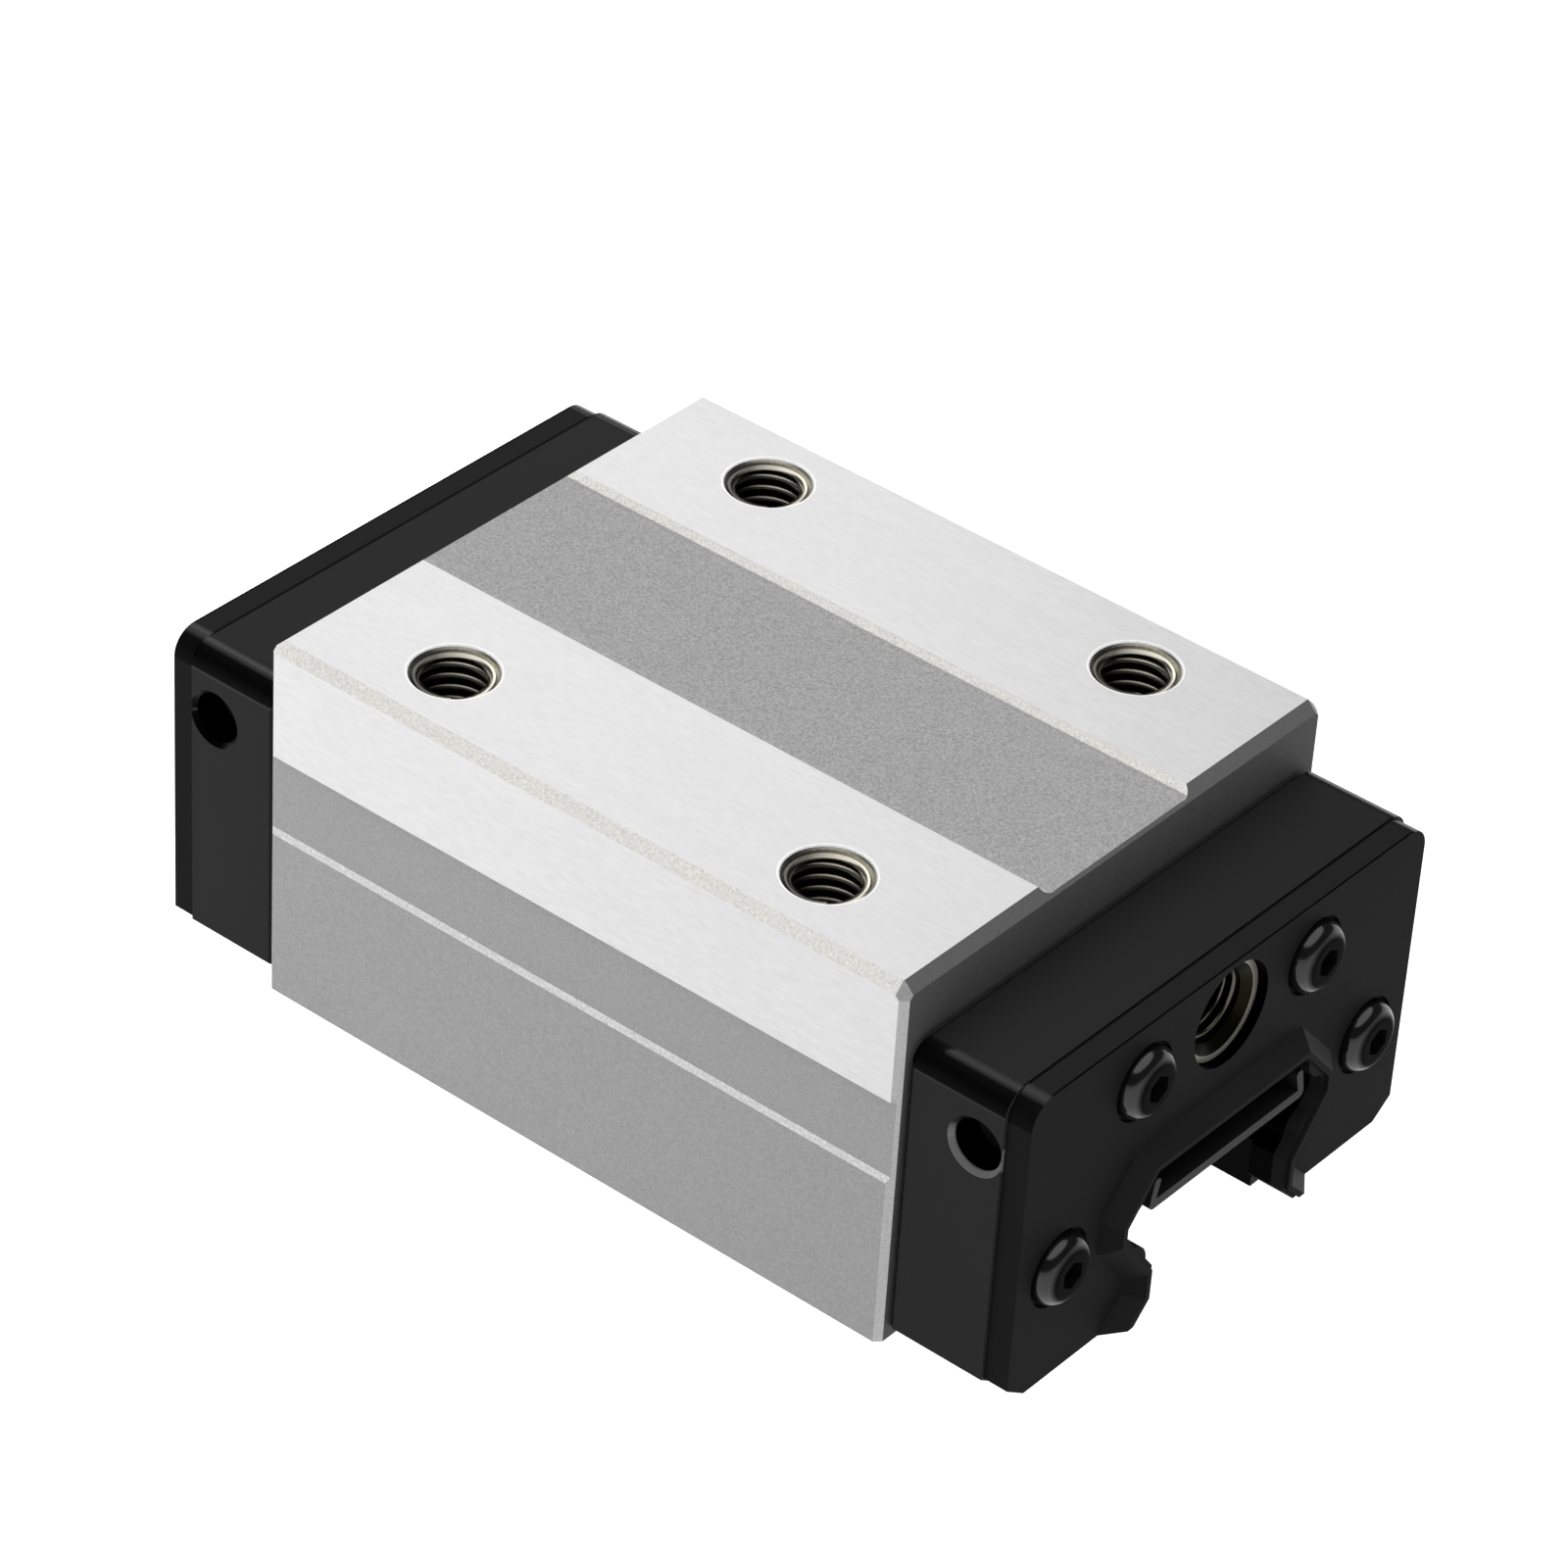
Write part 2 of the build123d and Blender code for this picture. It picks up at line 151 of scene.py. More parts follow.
class FinishSheet(NodeSheet):
    # one material
    def __init__(self, name):
        self.material = bpy.data.materials.new(name)
        self.material.use_nodes = True
        super().__init__(self.material.node_tree)
        self.x, self.y, self.z = self.parts(self.place.outputs["Object"])
        self.facingX, self.facingY, self.facingZ = self.parts(self.place.outputs["Normal"])

    def noise(self, stretch, detail=3.0, roughness=0.55):  # stretch is cycles per metre on X, Y, Z
        inputs = {"Vector": self.place.outputs["Object"], "Scale": stretch}
        mapping = self.add("ShaderNodeMapping", {}, inputs)
        node = self.add("ShaderNodeTexNoise", {}, {
            "Vector": mapping.outputs[0], "Scale": 1.0, "Detail": detail, "Roughness": roughness,
        })
        return Varying(self, node.outputs[0])

    def ring(self, across, along):  # distance from an axis
        return (across * across + along * along) ** 0.5

    def lightward(self, start, fade):  # 0 to 1 across a mounting hole, towards the wall where a highlight is painted
        across = (self.x.above(0, mm) * 2 - 1) * (abs(self.x) - holes["reach"])
        along = (self.y.above(0, mm) * 2 - 1) * (abs(self.y) - holes["reach"])
        lightX, lightY = holes["shiningSide"]
        return (across * lightX + along * lightY).above(start, fade)

    def layered(self, base, tones, places):  # lays each tone over the ones before it
        colour = grey(*base)
        for name, tone in tones.items():
            colour = self.mixed(places[name], colour, grey(*tone))
        return colour

    def moulded(self, middle, depth, flow, grain):  # wavers with the flow and the grain of a moulding
        return flow.around(grain.around(middle, depth["grain"]), depth["flow"])

    def finish(self, varying, fixed, height=None, depth=0.0):
        shader = self.add("ShaderNodeBsdfPrincipled", {}, {**fixed, **varying})
        if height is not None:
            bump = self.add("ShaderNodeBump", {}, {"Strength": 1.0, "Distance": depth, "Height": height})
            self.tree.links.new(bump.outputs[0], shader.inputs["Normal"])
        self.add("ShaderNodeOutputMaterial", {}, {"Surface": shader.outputs[0]})
        return self.material


def grey(tone, warmth=0.0):  # warmth leans it towards the yellow of cut steel
    return (tone * (1 + warmth * 0.3), tone, tone * (1 - warmth), 1.0)


def wear(names, material):
    for name in names:
        nodes[name].data.materials.clear()
        nodes[name].data.materials.append(material)


# camera, fitted to the edges of the block in the photograph
camera = {
    "place": (228.60 * mm, -294.01 * mm, 288.63 * mm),
    "turn": (54.269, -3.019, 40.099),
    "lens": 143.77,
    "sensor": 36.0,
    "nearest": 0.01,
}
cameraData = bpy.data.cameras.new("photoCamera")
cameraData.lens = camera["lens"]
cameraData.sensor_width = camera["sensor"]
cameraData.clip_start = camera["nearest"]
cameraObject = bpy.data.objects.new("photoCamera", cameraData)
cameraObject.location = camera["place"]
cameraObject.rotation_euler = Euler([math.radians(angle) for angle in camera["turn"]], "XYZ")
bpy.context.collection.objects.link(cameraObject)
bpy.context.scene.camera = cameraObject
bpy.context.scene.view_settings.view_transform = "Standard"
bpy.context.scene.view_settings.look = "None"

# studio light: a glow near the horizon, a darker ring over it and a soft box overhead
dome = {
    "glow": 0.95,
    "glowHead": 0.20,  # sine of the height where it ends
    "glowSoft": 0.12,
    "shade": 0.09,
    "overhead": 1.75,
    "overheadFoot": 0.76,
    "overheadSoft": 0.08,
}
rearLight = {"at": (-0.38, 0.33, 0.38), "aim": (-0.03, 0, 0), "size": 0.34, "watts": 0.66}
world = bpy.data.worlds.new("studio")
world.use_nodes = True
sky = NodeSheet(world.node_tree)
skyHeight = sky.parts(sky.place.outputs["Generated"])[2]
brightness = (
    dome["shade"]
    + skyHeight.below(dome["glowHead"], dome["glowSoft"]) * dome["glow"]
    + skyHeight.above(dome["overheadFoot"], dome["overheadSoft"]) * dome["overhead"]
)
skyLight = sky.add("ShaderNodeBackground", {}, {"Color": sky.shade(grey(1.0), brightness)})
sky.add("ShaderNodeOutputWorld", {}, {"Surface": skyLight.outputs[0]})
bpy.context.scene.world = world

lightData = bpy.data.lights.new("rearLight", "AREA")
lightData.shape = "SQUARE"
lightData.size = rearLight["size"]
lightData.energy = rearLight["watts"]
lightObject = bpy.data.objects.new("rearLight", lightData)
lightObject.location = rearLight["at"]
aim = Vector(rearLight["aim"]) - Vector(rearLight["at"])
lightObject.rotation_euler = aim.to_track_quat("-Z", "Y").to_euler()
bpy.context.collection.objects.link(lightObject)

# pale floor, a little brighter on the left as in the photograph
paper = {
    "reach": 3.0,
    "drop": 0.02 * mm,
    "tones": (0.26, 0.29),
    "clouds": (4, 4, 4),
    "glow": 0.99,
    "leftGlow": 0.6,
    "leftFade": 160 * mm,
}


def paleFloor():
    sheet = FinishSheet("paleFloor")
    cloud = sheet.noise(paper["clouds"], detail=1.0)
    leftwards = (-1 * sheet.x).above(0, paper["leftFade"])
    darker, lighter = paper["tones"]
    varying = {
        "Base Color": sheet.mixed(cloud, grey(darker), grey(lighter)),
        "Emission Color": sheet.shade(grey(1.0), 1 + leftwards * paper["leftGlow"]),
    }
    return sheet.finish(varying, {"Roughness": 0.9, "Emission Strength": paper["glow"]})


floorMesh = bpy.data.meshes.new("floor")
cornerSigns = ((-1, -1), (1, -1), (1, 1), (-1, 1))
floorCorners = [(x * paper["reach"], y * paper["reach"], -paper["drop"]) for x, y in cornerSigns]
floorMesh.from_pydata(floorCorners, [], [(0, 1, 2, 3)])
floor = bpy.data.objects.new("floor", floorMesh)
floor.data.materials.append(paleFloor())
bpy.context.collection.objects.link(floor)
print("camera, lights and floor set")

# mounting holes, for the steel round them and for their threads
holes = {
    "reach": 17.5 * mm,           # half the pitch
    "wall": 3.0 * mm,
    "mouth": 3.38 * mm,           # a painted highlight ring lies outside it, round the countersink
    "rimHighlightWidth": 0.20 * mm,
    "lip": 0.24 * mm,
    "above": 20 * mm,             # lower than this nothing is seen of them
    "shiningSide": (0.77, 0.64),  # x and y of the way that light falls into them, which sets where their highlight is painted
    "litFrom": 0.4 * mm,
    "litOver": 5.0 * mm,
}

# steel carriage: ground lands and bands, blasted lower sides and a blasted relief
steel = {
    "blast": (0.322, 0.0),
    "tones": {  # tone and warmth, laid on in this order
        "land": (0.67, 0.0),
        "relief": (0.38, 0.0),
        "band": (0.62, 0.0),
        "longEdge": (0.755, 0.05),
        # painted light: the steep channel walls are painted whiter than the edge chamfer to make up for
        # the shade they stand in
        "steepWall": (1.0, 0.04),
        # painted highlight: the faces of the ledge are painted bright as the light they catch from above
        "ledge": (0.72, 0.0),
        "endFace": (0.085, 0.0),
        "endEdge": (0.125, 0.0),
        "corner": (0.33, 0.0),
        # painted highlight: the corner facets at the rear end get a lit tone, lighter than the corner
        # tone
        "litRearCorner": (0.72, 0.0),
        "uprightEdge": (0.42, 0.0),
        "under": (0.55, 0.0),
        "passage": (0.32, 0.0),
        # painted light in the mounting holes: walls dark with painted shade, countersink and lip in a
        # shaded tone and a painted lit tone
        "hole": (0.05, 0.08),
        "countersink": (0.10, 0.1),
        "litCountersink": (0.44, 0.16),
        "lip": (0.16, 0.1),
        "litLip": (0.70, 0.16),
        # painted highlight ring on the top face round each hole mouth
        "rimHighlight": (0.97, 0.0),
    },
    "topFace": 31.5 * mm,
    "bandFoot": 21.5 * mm,
    "ledge": (14.35 * mm, 14.95 * mm),
    "reliefSide": 12 * mm,
    "passageSide": 12.9 * mm,
    "passageTop": 14.8 * mm,
    "grinding": (700, 5200, 5200),
    "wander": (60, 900, 900),
    "speckle": (5200, 5200, 5200),
    "mottle": (160, 160, 160),
    "streakDepth": 0.30,
    "wanderDepth": 0.06,
    "blastDepth": 0.62,
    "reliefDepth": 0.70,
    "edgeDepth": 0.35,
    "mottleDepth": 0.04,
    "roughness": 0.55,
    "groundGloss": 0.17,
    "boreGloss": 0.22,
    "streakGloss": 0.12,
    "groundShine": 0.38,
    "boreShine": 0.95,
    "edgeShine": 0.6,
    "streakHeight": 0.4,  # of the blasted grain's height
    "bump": 0.005 * mm,
}


def facePlaces(sheet):  # faces and edges of the carriage
    up = sheet.facingZ.square()
    endways = abs(sheet.facingX).square()
    tilted = sheet.facingZ.between(facing["leaning"], facing["square"], facing["soft"])
    sloped = abs(sheet.facingX).leaning()
    endEdge = tilted * sloped
    longEdge = tilted * (1 - sloped)
    corner = endEdge * abs(sheet.facingY).cornered()
    upright = abs(sheet.facingZ).below(facing["leaning"], facing["soft"])
    top = sheet.z.above(steel["topFace"] - 2 * soft, soft)
    # faces of the ledge, which carry a painted highlight
    ledge = sheet.z.between(*steel["ledge"], crisp) * abs(sheet.facingZ).above(0.2, 0.1)
    passage = abs(sheet.y).below(steel["passageSide"], soft) * (1 - endways)
    passage = passage * sheet.z.below(steel["passageTop"], soft)
    wall = abs(sheet.y).below(steel["reliefSide"], mm) * sheet.facingZ.below(0.75, 0.4)
    return {
        "top": top,
        "land": up * top,
        "relief": up * (1 - top),
        "band": abs(sheet.facingY).square() * sheet.z.above(steel["bandFoot"], crisp),
        "longEdge": longEdge,
        # steep channel walls, where light is painted to lift their shade
        "steepWall": longEdge * wall,
        "ledge": ledge,
        "endFace": endways,
        "endEdge": endEdge,
        "corner": corner,
        # rear corner facets, where a lit tone is painted
        "litRearCorner": corner * (-1 * sheet.facingX).cornered(),
        "uprightEdge": sloped * abs(sheet.facingY).leaning() * upright,
        "under": sheet.facingZ.below(-facing["square"], facing["soft"]) * (1 - passage),
        "passage": passage,
    }


def holePlaces(sheet, faces):  # the mouths of the mounting holes, and where their painted shade and painted highlights lie
    axis = sheet.ring(abs(sheet.x) - holes["reach"], abs(sheet.y) - holes["reach"])
    up = sheet.facingZ.square()
    hole = axis.below(holes["mouth"], crisp) * sheet.z.above(holes["above"], mm) * (1 - up)
    countersink = hole * axis.above(holes["wall"] + crisp, crisp)
    lip = countersink * axis.below(holes["wall"] + holes["lip"], crisp)
    lit = sheet.lightward(holes["litFrom"], holes["litOver"])
    return {
        "hole": hole,
        "countersink": countersink,
        "litCountersink": countersink * lit,
        "lip": lip,
        "litLip": lip * lit,
        # painted highlight ring round each mouth
        "rimHighlight": faces["top"] * axis.between(holes["mouth"], holes["mouth"] + holes["rimHighlightWidth"], crisp),
    }


def carriageSteel():
    sheet = FinishSheet("carriageSteel")
    places = facePlaces(sheet)
    places.update(holePlaces(sheet, places))
    ground = (places["land"] + places["band"]).clamped()
    polished = (places["hole"] + places["passage"] + places["under"]).clamped()
    rough = 1 - ground
    streaks = sheet.noise(steel["grinding"], detail=3.0, roughness=0.6)
    wander = sheet.noise(steel["wander"])
    speckle = sheet.noise(steel["speckle"], detail=2.0, roughness=0.7)
    mottle = sheet.noise(steel["mottle"])

    coarse = steel["blastDepth"] + places["relief"] * steel["reliefDepth"]
    coarse = coarse + places["longEdge"] * steel["edgeDepth"]
    cut = streaks.around(wander.around(0, steel["wanderDepth"]), steel["streakDepth"])
    texture = 1 + ground * cut + rough * speckle.around(0, coarse)
    texture = texture * mottle.around(1, steel["mottleDepth"])
    gloss = ground * steel["groundGloss"] + polished * steel["boreGloss"]
    shine = ground * steel["groundShine"] + polished * steel["boreShine"]
    shine = shine + places["uprightEdge"] * steel["edgeShine"]
    varying = {
        "Base Color": sheet.shade(sheet.layered(steel["blast"], steel["tones"], places), texture),
        "Roughness": streaks.around(steel["roughness"] - gloss, steel["streakGloss"]),
        "Metallic": shine.clamped(),
    }
    height = ground * streaks * steel["streakHeight"] + rough * speckle
    return sheet.finish(varying, {"IOR": 1.15}, height, steel["bump"])


wear(["carriage_block"], carriageSteel())

# moulded end caps
cap = {
    "black": (0.020, 0.0),
    "tones": {
        "step": (0.03, 0.0),
        # painted shade: the rounded edges are darker than the rest so that their middle band reads black
        "fillet": (0.002, 0.0),
        # painted shade inside the side port, and a painted highlight on its lead-in at the near cap only
        "port": (0.002, 0.0),
        "portLeadHighlight": (0.15, 0.0),
        # black seam line, and painted shade on the inner faces round the passage
        "linesAndShade": (0.0, 0.0),
    },
    "seam": 38.3 * mm,  # where the seal begins
    "seamWidth": 0.12 * mm,
    "side": 23.2 * mm,
    "portPlace": (36.0 * mm, 21.0 * mm),
    "portRadius": 2.5 * mm,
    "portLeadHighlight": 0.50 * mm,
    "innerSide": 12.6 * mm,
    "innerTop": 13.6 * mm,
    "grain": (4200, 4200, 4200),
    "flow": (110, 90, 60),
    "toneDepth": {"flow": 0.10, "grain": 0.06},
    "roughness": 0.35,
    "roughDepth": {"flow": 0.06, "grain": 0.08},
    "bump": 0.0008 * mm,
}


def capBlack():
    sheet = FinishSheet("capBlack")
    grain = sheet.noise(cap["grain"], detail=2.0)
    flow = sheet.noise(cap["flow"])
    # the rounded edges, darkened with painted shade
    fillet = sheet.facingZ.curved() * abs(sheet.facingY).above(0.04, 0.02)
    shoulder = fillet * (sheet.facingZ.above(0.93, 0.08) + sheet.facingZ.below(0.10, 0.06))
    outer = abs(sheet.x).above(cap["seam"] - cap["seamWidth"], crisp)
    inner = abs(sheet.y).below(cap["innerSide"], soft) * sheet.z.below(cap["innerTop"], soft)
    inner = inner * abs(sheet.facingX).below(facing["square"], facing["soft"])
    portX, portZ = cap["portPlace"]
    # the side port, where its shade is painted
    port = sheet.ring(abs(sheet.x) - portX, sheet.z - portZ).below(cap["portRadius"], crisp)
    port = port * abs(sheet.facingY).below(facing["square"], facing["soft"])
    # lead-in of the near cap's port, where a highlight is painted
    portLeadHighlight = port * abs(sheet.y).above(cap["side"] - cap["portLeadHighlight"], crisp)
    portLeadHighlight = portLeadHighlight * sheet.x.above(0, mm) * sheet.facingZ.above(-0.2, 0.3)
    places = {
        "step": outer * abs(sheet.facingX).square(),
        "fillet": fillet,
        "port": port,
        "portLeadHighlight": portLeadHighlight,
        # black seam line on top, and painted shade on the inner faces
        "linesAndShade": outer * sheet.facingZ.above(0.5, facing["soft"]) + inner,
    }
    colour = sheet.layered(cap["black"], cap["tones"], places)
    varying = {
        "Base Color": sheet.shade(colour, sheet.moulded(1, cap["toneDepth"], flow, grain)),
        "Roughness": sheet.moulded(cap["roughness"], cap["roughDepth"], flow, grain),
        "Metallic": port * (1 - portLeadHighlight),
        "Coat Weight": shoulder,
    }
    fixed = {"IOR": 1.08, "Coat Roughness": 0.12, "Coat IOR": 1.32}
    return sheet.finish(varying, fixed, grain, cap["bump"])


wear(["front_end_cap", "rear_end_cap"], capBlack())

# rubber faced end seals
seal = {
    "black": (0.0095, 0.0),
    "tones": {
        # painted light: faces that look upwards get a lighter tone
        "upFacing": (0.0165, 0.0),
        # painted shade: the rounded edges are darker than the rest of the seal
        "fillet": (0.004, 0.0),
        # painted highlight on the upward facets that face away
        "farFacetHighlight": (0.045, 0.0),
        # black lines along the seam and the front top edge, and painted shade round the insert mouth and
        # on the inner faces
        "linesAndShade": (0.0, 0.0),
    },
    "face": 40.4 * mm,
    "edgeWidth": 0.16 * mm,
    "insertHeight": 21.8 * mm,
    "insertMouth": 4.3 * mm,
    "upper": 26 * mm,
    "shoulders": 24 * mm,
    "grain": (3600, 3600, 3600),
    "flow": (90, 110, 80),
    "toneDepth": {"flow": 0.12, "grain": 0.06},
    "roughness": 0.42,
    "roughDepth": {"flow": 0.10, "grain": 0.10},
    "shoulderCoat": 0.7,
    "bump": 0.0008 * mm,
}


def sealBlack():
    sheet = FinishSheet("sealBlack")
    grain = sheet.noise(seal["grain"])
    flow = sheet.noise(seal["flow"], detail=2.0)
    out = abs(sheet.x)
    notOut = abs(sheet.facingX).below(facing["square"], facing["soft"])
    upper = sheet.facingZ.square() * sheet.z.above(seal["upper"], soft)
    faceEdge = out.above(seal["face"] - seal["edgeWidth"], crisp)
    seamEdge = out.below(cap["seam"] + cap["seamWidth"], crisp)
    # the rounded edges, darkened with painted shade
    fillet = sheet.facingZ.curved() * sheet.z.above(seal["shoulders"], soft)
    fillet = fillet * abs(sheet.facingX).below(0.5, 0.1)
    mouth = sheet.ring(sheet.y, sheet.z - seal["insertHeight"]).below(seal["insertMouth"], crisp)
    inner = abs(sheet.y).below(cap["innerSide"], soft) * sheet.z.below(cap["innerTop"], soft)
    inner = inner * out.below(seal["face"] - soft, soft)
    # faces that look upwards, which get a painted lighter tone
    upFacing = sheet.facingZ.above(0.4, 0.2)
    places = {
        "upFacing": upFacing,
        "fillet": fillet,
        # facets on the far side, where a highlight is painted
        "farFacetHighlight": sheet.facingY.above(0.25, 0.1) * abs(sheet.facingX).between(0.2, 0.85, 0.05) * upFacing,
        # black seam and front edge lines, and painted shade round the insert mouth and on the inner faces
        "linesAndShade": (upper * (faceEdge + seamEdge) + (mouth + inner) * notOut).clamped(),
    }
    colour = sheet.layered(seal["black"], seal["tones"], places)
    varying = {
        "Base Color": sheet.shade(colour, sheet.moulded(1, seal["toneDepth"], flow, grain)),
        "Roughness": sheet.moulded(seal["roughness"], seal["roughDepth"], flow, grain),
        "Coat Weight": fillet * sheet.facingZ.above(0.90, 0.1) * seal["shoulderCoat"],
    }
    fixed = {"IOR": 1.06, "Coat Roughness": 0.15, "Coat IOR": 1.4}
    return sheet.finish(varying, fixed, grain, seal["bump"])


wear(["front_end_seal", "rear_end_seal"], sealBlack())

# blackened cap screws, glossy on their shoulders only
screw = {
    "tone": 0.004,
    "toneDepth": 0.30,
    "roughness": 0.5,
    "roughDepth": 0.08,
    "turning": (3000, 3000, 3000),
    "crown": 0.88,
    "crownFade": 0.16,
    "bump": 0.0006 * mm,
}


def screwBlack():
    sheet = FinishSheet("screwBlack")
    turned = sheet.noise(screw["turning"], detail=2.0)
    crown = abs(sheet.facingX).above(screw["crown"], screw["crownFade"])
    varying = {
        "Base Color": sheet.shade(grey(screw["tone"]), turned.around(1, screw["toneDepth"])),
        "Roughness": turned.around(screw["roughness"], screw["roughDepth"]),
        "Coat Weight": 1 - crown,
    }
    fixed = {"IOR": 1.05, "Coat Roughness": 0.14, "Coat IOR": 1.5}
    return sheet.finish(varying, fixed, turned, screw["bump"])


wear(["front_cap_screws", "rear_cap_screws"], screwBlack())

# small parts that keep and turn the balls, in near-black tones that are partly their own colour and
# partly painted shade of the passage they sit in
smallParts = {
    "keeperGrey": {"tone": 0.012, "roughness": 0.45, "names": "_keeper_strip"},
    "retainerBlack": {"tone": 0.008, "roughness": 0.45, "names": "_retainer"},
    "guideGrey": {"tone": 0.05, "roughness": 0.5, "names": "_turn_guide"},
}
allSmallParts = {
    "grain": (4000, 4000, 4000),
    "flow": (120, 120, 60),
    "toneDepth": {"flow": 0.20, "grain": 0.10},
    "roughDepth": {"flow": 0.08, "grain": 0.0},
    "bump": 0.0015 * mm,
}


def plainMoulding(name, tone, roughness):
    sheet = FinishSheet(name)
    grain = sheet.noise(allSmallParts["grain"], detail=2.0)
    flow = sheet.noise(allSmallParts["flow"])
    varying = {
        "Base Color": sheet.shade(grey(tone), sheet.moulded(1, allSmallParts["toneDepth"], flow, grain)),
        "Roughness": sheet.moulded(roughness, allSmallParts["roughDepth"], flow, grain),
    }
    return sheet.finish(varying, {"IOR": 1.2}, grain, allSmallParts["bump"])


for name, part in smallParts.items():
    finish = plainMoulding(name, part["tone"], part["roughness"])
    wear([node for node in nodes if node.endswith(part["names"])], finish)

# ground balls
ball = {
    "tone": 0.75,
    "toneDepth": 0.20,
    "roughness": 0.12,
    "roughDepth": 0.15,
    "turning": (9000, 500, 500),
    "bump": 0.0015 * mm,
}


def ballSteel():
    sheet = FinishSheet("ballSteel")
    turned = sheet.noise(ball["turning"])
    varying = {
        "Base Color": sheet.shade(grey(ball["tone"]), turned.around(1, ball["toneDepth"])),
        "Roughness": turned.around(ball["roughness"], ball["roughDepth"]),
    }
    return sheet.finish(varying, {"Metallic": 1.0}, turned, ball["bump"])


wear([name for name in nodes if name.endswith("_balls")], ballSteel())

# grease insert: a thin bright rim round a threaded bore that is painted dark as shade
insert = {
    "mouth": 3.7 * mm,
    "rim": (0.24, 0.24, 0.20, 1.0),
    "bore": (0.008, 0.008, 0.004, 1.0),
    "toneDepth": 0.24,
    "roughness": 0.34,
    "roughDepth": 0.15,
    "rimShine": 0.4,
    "turning": (9000, 700, 700),
    "bump": 0.0015 * mm,
}


def insertMetal():
    sheet = FinishSheet("insertMetal")
    turned = sheet.noise(insert["turning"])
    axis = sheet.ring(sheet.y, sheet.z - seal["insertHeight"])
    bore = axis.below(insert["mouth"] - crisp, crisp)
    colour = sheet.mixed(bore, insert["rim"], insert["bore"])
    varying = {
        "Base Color": sheet.shade(colour, turned.around(1, insert["toneDepth"])),
        "Roughness": turned.around(insert["roughness"], insert["roughDepth"]),
        "Metallic": insert["rimShine"] + bore * (1 - insert["rimShine"]),
    }
    return sheet.finish(varying, {"IOR": 1.3}, turned, insert["bump"])


wear(["front_grease_insert", "rear_grease_insert"], insertMetal())
print("finishes set")


# thread turns: a trapezoid ridge swept along a helix at each given place
def threadTree():
    tree = bpy.data.node_groups.new("threadTurns", "GeometryNodeTree")
    tree.interface.new_socket("Places", in_out="INPUT", socket_type="NodeSocketGeometry")
    for name in ("Pitch", "Turns", "Wall Radius", "Ridge Height", "Root Share", "Crest Share"):
        tree.interface.new_socket(name, in_out="INPUT", socket_type="NodeSocketFloat")
    tree.interface.new_socket("Turn Steps", in_out="INPUT", socket_type="NodeSocketInt")
    tree.interface.new_socket("Turned", in_out="INPUT", socket_type="NodeSocketRotation")
    tree.interface.new_socket("Finish", in_out="INPUT", socket_type="NodeSocketMaterial")
    tree.interface.new_socket("Threads", in_out="OUTPUT", socket_type="NodeSocketGeometry")

    def add(kind, settings, inputs):
        return addNode(tree, kind, settings, inputs)

    def maths(operation, first, second):
        return add("ShaderNodeMath", {"operation": operation}, {0: first, 1: second}).outputs[0]

    given = add("NodeGroupInput", {}, {}).outputs
    middle = maths("SUBTRACT", given["Wall Radius"], maths("MULTIPLY", given["Ridge Height"], 0.5))
    helix = add("GeometryNodeCurveSpiral", {}, {
        "Resolution": given["Turn Steps"],
        "Rotations": given["Turns"],
        "Start Radius": middle,
        "End Radius": middle,
        "Height": maths("MULTIPLY", given["Pitch"], given["Turns"]),
        "Reverse": True,  # right handed
    })
    upright = add("GeometryNodeSetCurveNormal", {"mode": "Z_UP"}, {"Curve": helix.outputs["Curve"]})
    ridge = add("GeometryNodeCurvePrimitiveQuadrilateral", {"mode": "TRAPEZOID"}, {
        "Height": given["Ridge Height"],
        "Bottom Width": maths("MULTIPLY", given["Pitch"], given["Root Share"]),
        "Top Width": maths("MULTIPLY", given["Pitch"], given["Crest Share"]),
        "Offset": 0.0,
    })
    turned = add("GeometryNodeTransform", {}, {
        "Geometry": ridge.outputs["Curve"],
        "Rotation": (0, 0, math.pi / 2),
    })
    swept = add("GeometryNodeCurveToMesh", {}, {
        "Curve": upright.outputs["Curve"],
        "Profile Curve": turned.outputs["Geometry"],
        "Fill Caps": True,
    })
    placed = add("GeometryNodeInstanceOnPoints", {}, {
        "Points": given["Places"],
        "Instance": swept.outputs["Mesh"],
        "Rotation": given["Turned"],
    })
    whole = add("GeometryNodeRealizeInstances", {}, {"Geometry": placed.outputs["Instances"]})
    finished = add("GeometryNodeSetMaterial", {}, {
        "Geometry": whole.outputs["Geometry"],
        "Material": given["Finish"],
    })
    add("NodeGroupOutput", {}, {"Threads": finished.outputs["Geometry"]})
    return tree


# cut steel of the threads: dark deep down as painted shade, and bright near the mouth on the side that
# shines as a painted highlight
cutSteel = {
    "deep": (0.006, 0.1),
    "litDeep": (0.08, 0.16),
    "shallow": (0.58, 0.16),
    "shallowFrom": 28.4 * mm,
    "shallowOver": 5.0 * mm,
    "litFrom": 0.8 * mm,
    "litOver": 4.5 * mm,
    "unlitShare": 0.12,
    "toneDepth": 0.30,
    "roughness": 0.22,
    "roughDepth": 0.12,
    "chatter": (2600, 2600, 2600),
    "bump": 0.001 * mm,
}


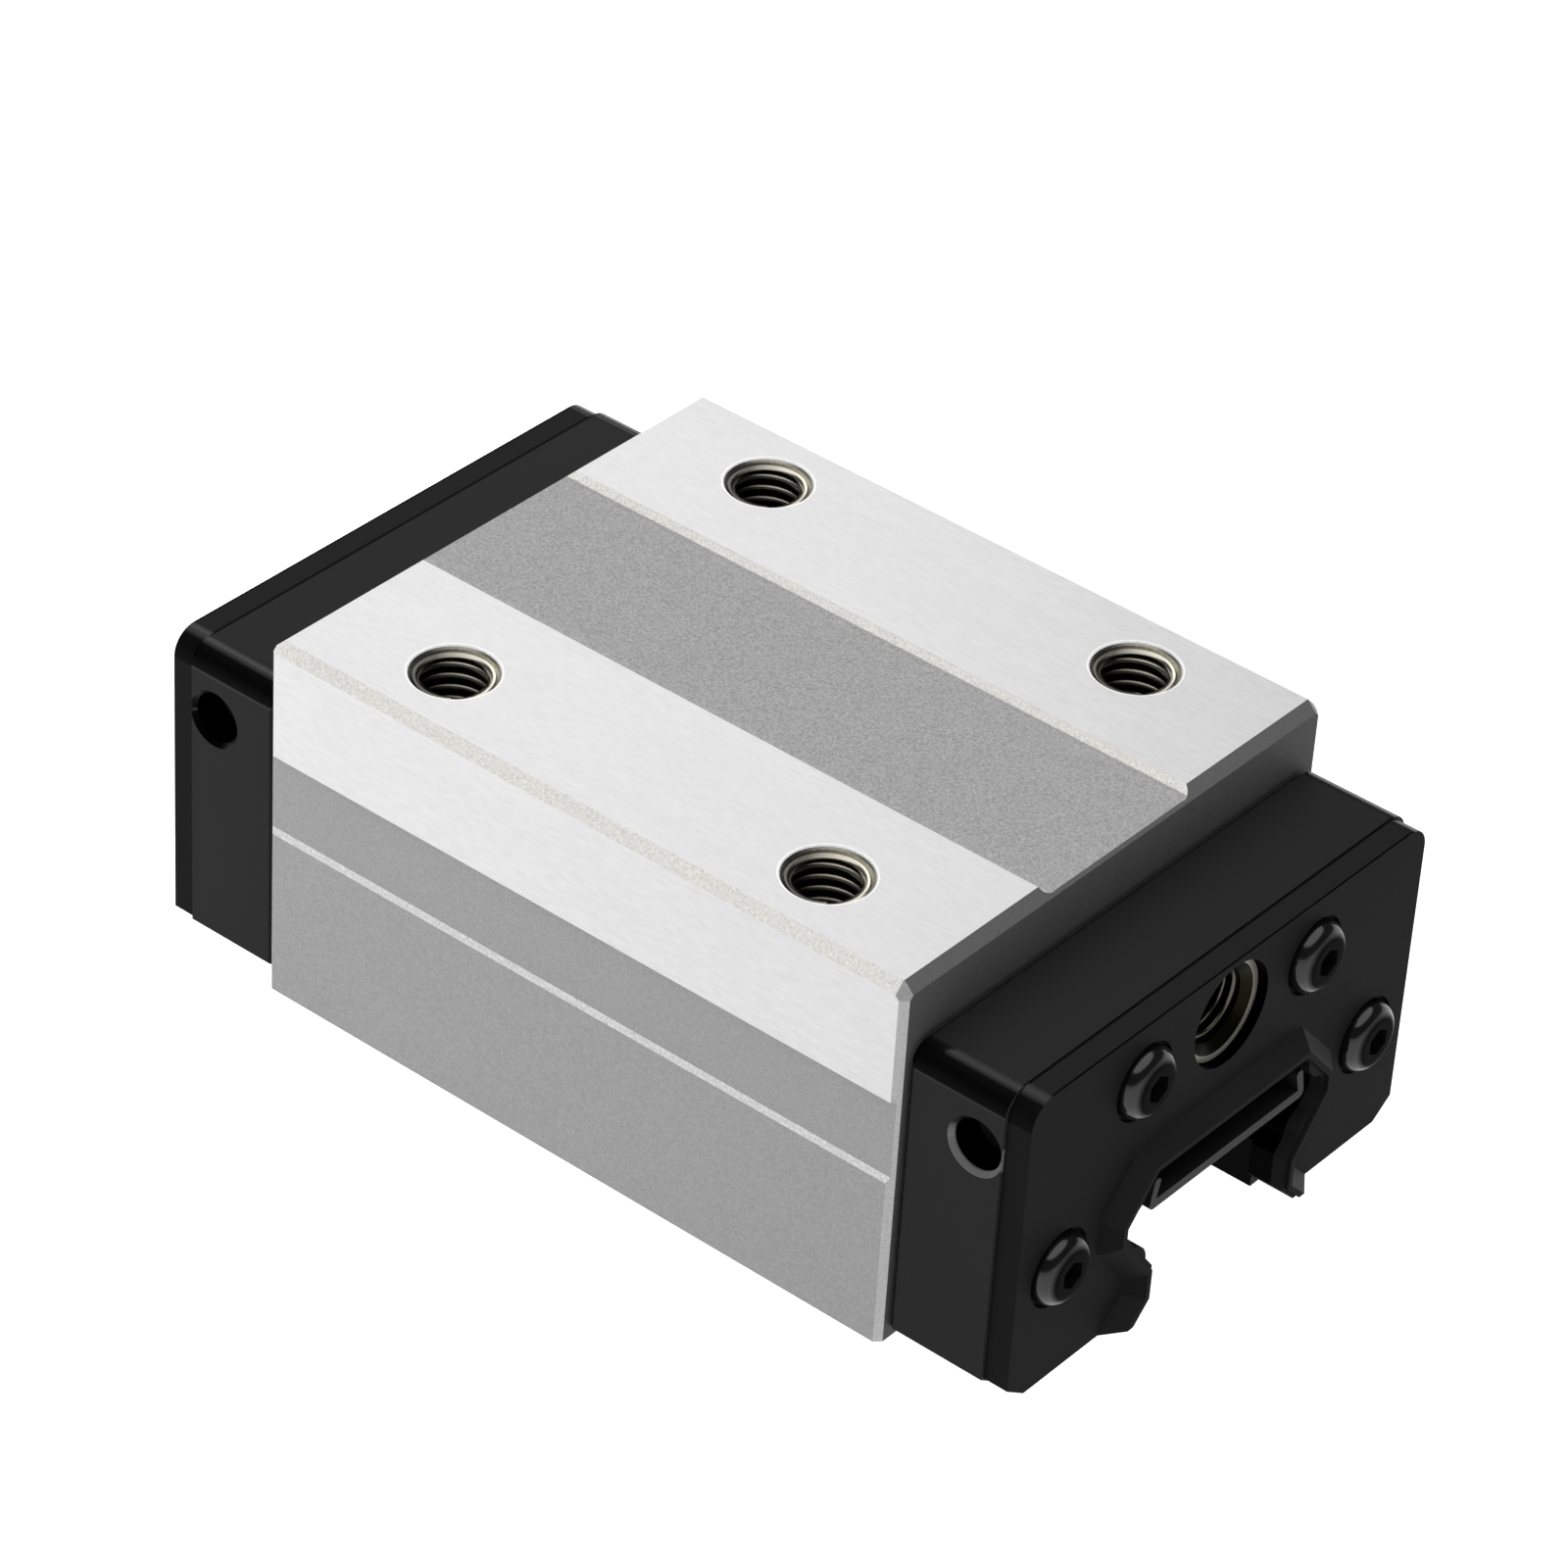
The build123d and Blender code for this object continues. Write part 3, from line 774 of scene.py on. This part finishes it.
def threadSteel():
    sheet = FinishSheet("threadSteel")
    chatter = sheet.noise(cutSteel["chatter"])
    shallow = sheet.z.above(cutSteel["shallowFrom"], cutSteel["shallowOver"])
    lit = sheet.lightward(cutSteel["litFrom"], cutSteel["litOver"])
    bright = shallow * (cutSteel["unlitShare"] + lit * (1 - cutSteel["unlitShare"]))
    deep = sheet.mixed(lit, grey(*cutSteel["deep"]), grey(*cutSteel["litDeep"]))
    colour = sheet.mixed(bright, deep, grey(*cutSteel["shallow"]))
    varying = {
        "Base Color": sheet.shade(colour, chatter.around(1, cutSteel["toneDepth"])),
        "Roughness": chatter.around(cutSteel["roughness"], cutSteel["roughDepth"]),
    }
    return sheet.finish(varying, {"Metallic": 1.0}, chatter, cutSteel["bump"])


threads = {
    "mountingThreads": {
        "places": [(x * holes["reach"], y * holes["reach"], 23.6 * mm) for x in (-1, 1) for y in (-1, 1)],
        "slot": "carriage_steel",
        "inputs": {
            "Pitch": 1.0 * mm,
            "Turns": 8.15,
            "Wall Radius": 3.25 * mm,
            "Ridge Height": 0.79 * mm,
            "Root Share": 1.1,
            "Turned": Euler((0, 0, math.radians(-106))),
        },
        "mouth": {"from": 2.46 * mm, "height": 31.0 * mm, "slope": 0.3, "leftOver": 0.02},
    },
    "greaseThreads": {
        "places": [(x, 0, seal["insertHeight"]) for x in (33.7 * mm, -38.8 * mm)],
        "slot": "insert_metal",
        "inputs": {
            "Pitch": 0.75 * mm,
            "Turns": 6.8,
            "Wall Radius": 3.02 * mm,
            "Ridge Height": 0.42 * mm,
            "Root Share": 0.86,
            "Turned": Euler((0, math.pi / 2, 0)),
        },
    },
}
allThreads = {"Crest Share": 0.16, "Turn Steps": 72}
weldReach = 0.001 * mm


def trimToMouth(shape, places, mouth):  # the last turn runs out in the countersink
    for corner in shape.verts:
        reach = min(math.dist(corner.co[:2], place[:2]) for place in places)
        limit = mouth["height"] + (reach - mouth["from"]) * mouth["slope"]
        if corner.co.z > limit:
            corner.co.z = limit + (corner.co.z - limit) * mouth["leftOver"]


def sweptMesh(name, thread, tree, finish):  # the tree's result as a plain mesh
    host = bpy.data.objects.new(name + "Places", bpy.data.meshes.new(name + "Places"))
    host.data.from_pydata(thread["places"], [], [])
    bpy.context.collection.objects.link(host)
    modifier = host.modifiers.new("threadTurns", "NODES")
    modifier.node_group = tree
    inputs = {**thread["inputs"], **allThreads, "Finish": finish}
    for item in tree.interface.items_tree:
        if item.in_out == "INPUT" and item.name in inputs:
            modifier[item.identifier] = inputs[item.name]
    evaluated = host.evaluated_get(bpy.context.evaluated_depsgraph_get())
    mesh = bpy.data.meshes.new_from_object(evaluated)
    bpy.data.objects.remove(host)
    return mesh


def cutThreads(name, thread, tree, finish):
    mesh = sweptMesh(name, thread, tree, finish)
    shape = bmesh.new()
    shape.from_mesh(mesh)
    bmesh.ops.remove_doubles(shape, verts=shape.verts, dist=weldReach)
    if "mouth" in thread:
        trimToMouth(shape, thread["places"], thread["mouth"])
    bmesh.ops.recalc_face_normals(shape, faces=shape.faces)
    for face in shape.faces:
        face.material_index = 0
    shape.to_mesh(mesh)
    shape.free()
    mesh.name = name
    mesh.materials.clear()
    mesh.materials.append(finish)
    piece = bpy.data.objects.new(name, mesh)
    bpy.context.collection.objects.link(piece)
    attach(piece, "root")
    print(name, len(mesh.polygons), "faces")


turnsTree = threadTree()
threadFinish = threadSteel()
for name, thread in threads.items():
    cutThreads(name, thread, turnsTree, threadFinish)
print("threads cut")
